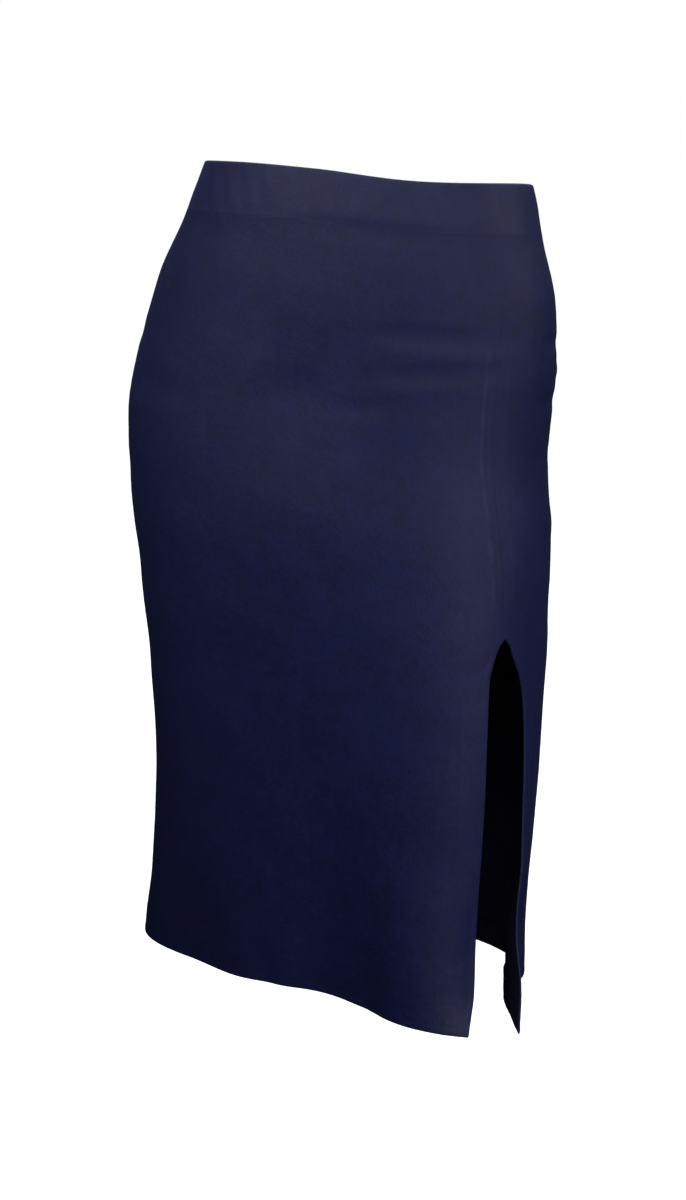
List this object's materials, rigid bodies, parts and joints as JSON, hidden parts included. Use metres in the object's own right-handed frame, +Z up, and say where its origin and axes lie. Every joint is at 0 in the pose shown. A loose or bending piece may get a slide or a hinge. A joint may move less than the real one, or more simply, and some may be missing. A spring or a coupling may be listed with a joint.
{
  "type": "pencil skirt",
  "caption": "Pull-on pencil skirt in its worn form, with an elastic waistband, a turned-up hem and a slit at the left side seam.",
  "frame": {"origin": "the middle of the waist, in the plane of the waist edge, where the wearer holds the skirt", "axes": "+Z up, out of the waist; -Y to the wearer's front; +X to the wearer's left, where the slit is"},
  "size_m": [0.4102, 0.2269, 0.6659],
  "materials": {
    "skirt_cloth": "matte navy double-knit crepe",
    "band_cloth": "matte navy double-knit crepe over elastic"
  },
  "bodies": {
    "root": {"front_panel": "skirt_cloth", "back_panel": "skirt_cloth", "waistband": "band_cloth"}
  },
  "joints": []
}
